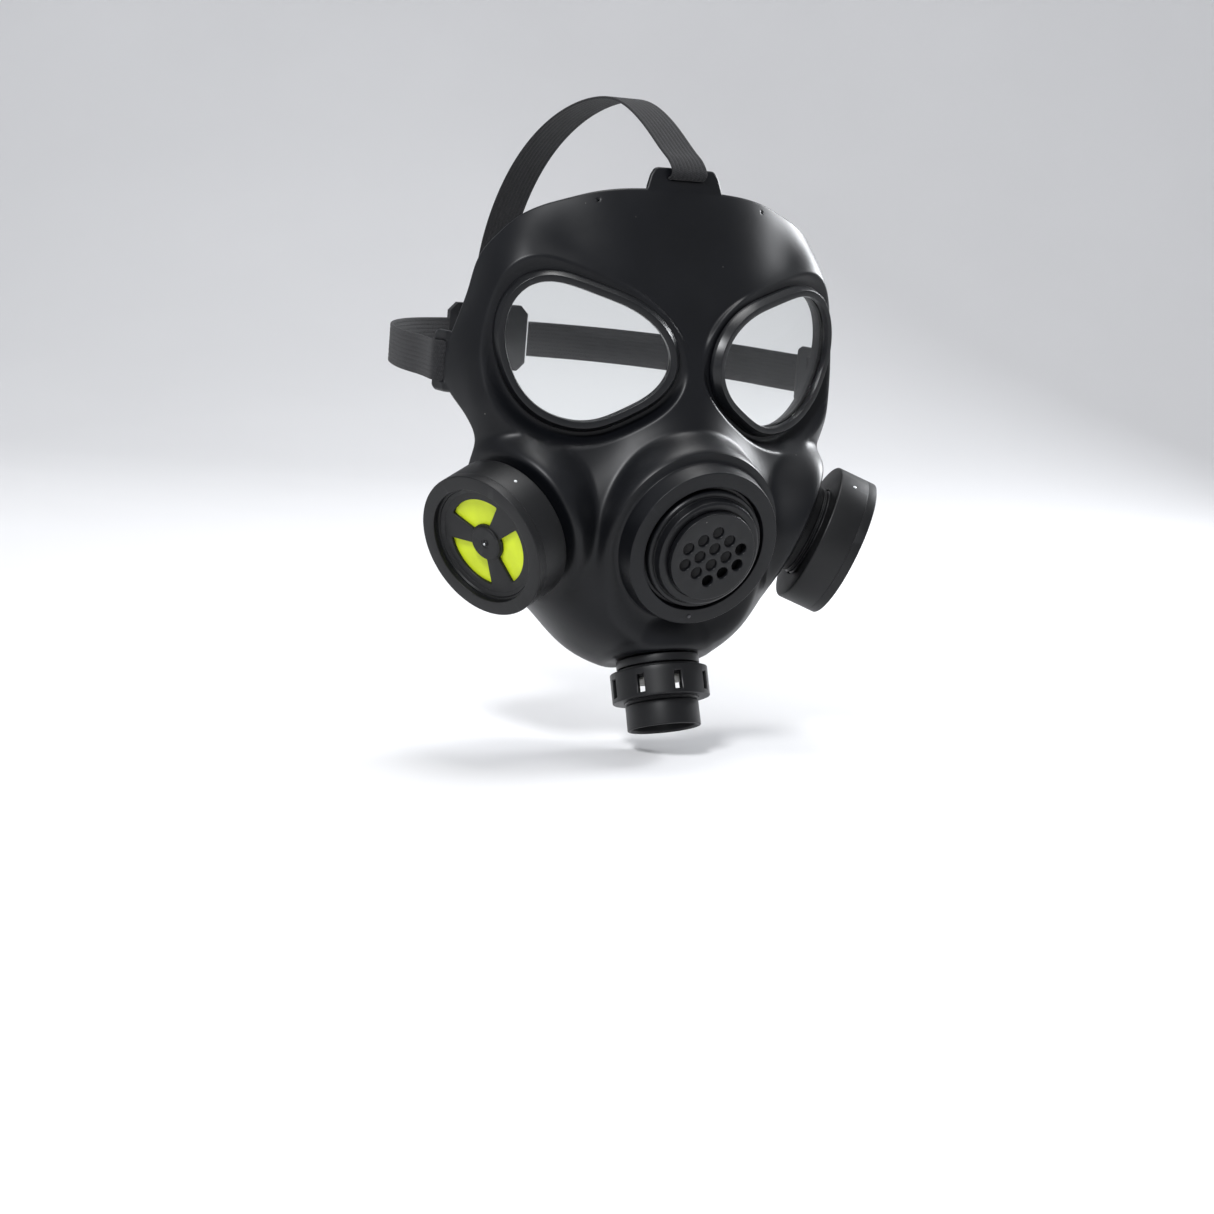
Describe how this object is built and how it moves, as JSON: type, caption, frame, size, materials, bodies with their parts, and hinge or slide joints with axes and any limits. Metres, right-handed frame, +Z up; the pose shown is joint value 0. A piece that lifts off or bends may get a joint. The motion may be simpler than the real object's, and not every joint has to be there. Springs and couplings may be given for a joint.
{
  "type": "full face respirator mask",
  "caption": "Black moulded full-face respirator with twin side filter canisters, curved eye lenses, perforated speech unit, chin outlet and elastic head harness.",
  "frame": {"origin": "midway between the centres of the two eye lenses, at the front of the head's seat", "axes": "+X to the wearer's left, +Y backwards into the head space, +Z up towards the crown strap"},
  "size_m": [0.211, 0.2387, 0.2724],
  "materials": {
    "shell_rubber": "satin moulded",
    "moulded_black": "fine satin",
    "lens_clear": "clear",
    "seal_rubber": "matte",
    "valve_silicone": "smooth",
    "indicator_yellow": "smooth",
    "filter_felt": "felt",
    "carbon_granules": "granular",
    "screen_grey": "satin",
    "webbing_black": "ribbed elastic",
    "screw_steel": "satin",
    "diaphragm_film": "smooth",
    "pad_rubber": "satin moulded"
  },
  "bodies": {
    "mask": {"face_shell": "shell_rubber", "boss_screw": "screw_steel", "speech_housing": "moulded_black", "speech_grille": "moulded_black", "diaphragm_gasket": "seal_rubber", "speech_diaphragm": "diaphragm_film", "speech_clamp_ring": "moulded_black", "speech_ring_nut": "moulded_black", "outlet_port": "moulded_black", "outlet_port_nut": "moulded_black", "exhale_valve_seat": "moulded_black", "top_strap": "webbing_black", "side_strap_left": "webbing_black", "side_strap_right": "webbing_black", "inlet_connector_left": "moulded_black", "connector_nut_left": "moulded_black", "inlet_valve_seat_left": "moulded_black", "lens_frame_left": "moulded_black", "lens_left": "lens_clear", "lens_seal_left": "seal_rubber", "lens_keeper_left": "moulded_black", "lens_clamp_left": "moulded_black", "inlet_connector_right": "moulded_black", "connector_nut_right": "moulded_black", "inlet_valve_seat_right": "moulded_black", "lens_frame_right": "moulded_black", "lens_right": "lens_clear", "lens_seal_right": "seal_rubber", "lens_keeper_right": "moulded_black", "lens_clamp_right": "moulded_black"},
    "neck_seal_left": {"port_gasket_left": "seal_rubber"},
    "canister_left": {"filter_housing_left": "moulded_black", "front_cover_left": "moulded_black", "indicator_disc_left": "indicator_yellow", "filter_pad_left": "filter_felt", "carbon_bed_left": "carbon_granules", "rear_screen_left": "screen_grey"},
    "inlet_flap_left": {"inlet_valve_left": "valve_silicone"},
    "neck_seal_right": {"port_gasket_right": "seal_rubber"},
    "canister_right": {"filter_housing_right": "moulded_black", "front_cover_right": "moulded_black", "indicator_disc_right": "indicator_yellow", "filter_pad_right": "filter_felt", "carbon_bed_right": "carbon_granules", "rear_screen_right": "screen_grey"},
    "inlet_flap_right": {"inlet_valve_right": "valve_silicone"},
    "exhale_flap": {"exhale_valve": "valve_silicone"},
    "outlet_swivel": {"outlet_collar": "moulded_black", "outlet_spigot": "moulded_black"},
    "harness_back": {"harness_pad": "pad_rubber"}
  },
  "joints": [
    {"name": "canister_left_advance", "type": "slide", "parent": "mask", "child": "neck_seal_left", "axis": [0.8559, -0.3721, -0.3592], "range_m": [0, 0.006]},
    {"name": "canister_left_turn", "type": "hinge", "parent": "neck_seal_left", "child": "canister_left", "pos_m": [0.08964, -0.00341, -0.07703], "axis": [0.8559, -0.3721, -0.3592], "range_deg": [0, 720]},
    {"name": "inlet_valve_left_lift", "type": "slide", "parent": "mask", "child": "inlet_flap_left", "axis": [-0.8559, 0.3721, 0.3592], "range_m": [0, 0.002], "stiffness_N_per_m": 25, "springref_m": -0.0005},
    {"name": "canister_right_advance", "type": "slide", "parent": "mask", "child": "neck_seal_right", "axis": [-0.8559, -0.3721, -0.3592], "range_m": [0, 0.006]},
    {"name": "canister_right_turn", "type": "hinge", "parent": "neck_seal_right", "child": "canister_right", "pos_m": [-0.08964, -0.00341, -0.07703], "axis": [-0.8559, -0.3721, -0.3592], "range_deg": [0, 720]},
    {"name": "inlet_valve_right_lift", "type": "slide", "parent": "mask", "child": "inlet_flap_right", "axis": [0.8559, 0.3721, 0.3592], "range_m": [0, 0.002], "stiffness_N_per_m": 25, "springref_m": -0.0005},
    {"name": "exhale_valve_lift", "type": "slide", "parent": "mask", "child": "exhale_flap", "axis": [0, -0.3746, -0.9272], "range_m": [0, 0.0015], "stiffness_N_per_m": 60, "springref_m": -0.0005},
    {"name": "outlet_swivel_turn", "type": "hinge", "parent": "mask", "child": "outlet_swivel", "pos_m": [0, -0.0059, -0.13723], "axis": [0, -0.3746, -0.9272], "continuous": true},
    {"name": "harness_stretch", "type": "slide", "parent": "mask", "child": "harness_back", "axis": [0, 1, 0], "range_m": [0, 0.04], "stiffness_N_per_m": 60, "deforming": ["top_strap", "side_strap_left", "side_strap_right"]}
  ],
  "couplings": [
    {"joint": "canister_left_advance", "follows": "canister_left_turn", "m_per_rad": 0.00047746},
    {"joint": "canister_right_advance", "follows": "canister_right_turn", "m_per_rad": 0.00047746}
  ]
}
